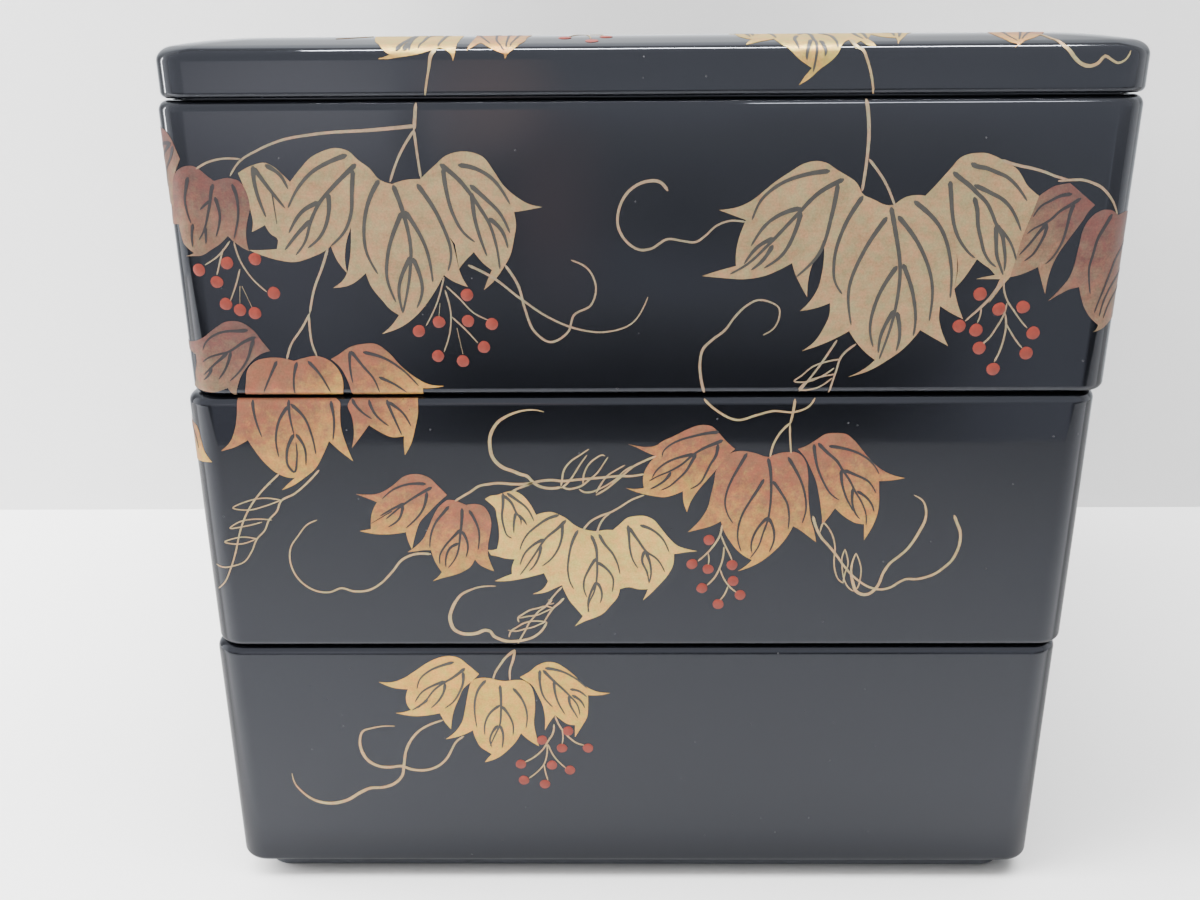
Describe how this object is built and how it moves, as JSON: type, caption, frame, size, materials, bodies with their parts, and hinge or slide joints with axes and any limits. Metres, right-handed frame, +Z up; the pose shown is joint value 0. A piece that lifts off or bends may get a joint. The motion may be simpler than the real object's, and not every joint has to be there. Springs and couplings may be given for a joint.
{
  "type": "tiered food box",
  "caption": "Square black lacquered food box of stacked open tiers under a lift-off lid, with a painted ivy vine in gold, copper and red over the front.",
  "frame": {"origin": "on the surface that the box stands on, under the middle of the stack's outline", "axes": "+Z up through the stack, +X to the right seen from the painted front, which faces -Y"},
  "size_m": [0.1974, 0.195, 0.1965],
  "materials": {
    "black_lacquer": "black lacquer polished to a mirror gloss, over wood",
    "gold_paint": "satin gold powder under clear lacquer, brushed leaves, stems and tendrils",
    "copper_paint": "satin copper powder under clear lacquer, shaded into gold at the tips",
    "red_paint": "vermilion lacquer, glossy, slightly domed",
    "vein_paint": "blue-grey line paint"
  },
  "bodies": {
    "root": {"lid": "black_lacquer", "top_tier": "black_lacquer", "middle_tier": "black_lacquer", "bottom_tier": "black_lacquer"}
  },
  "joints": []
}
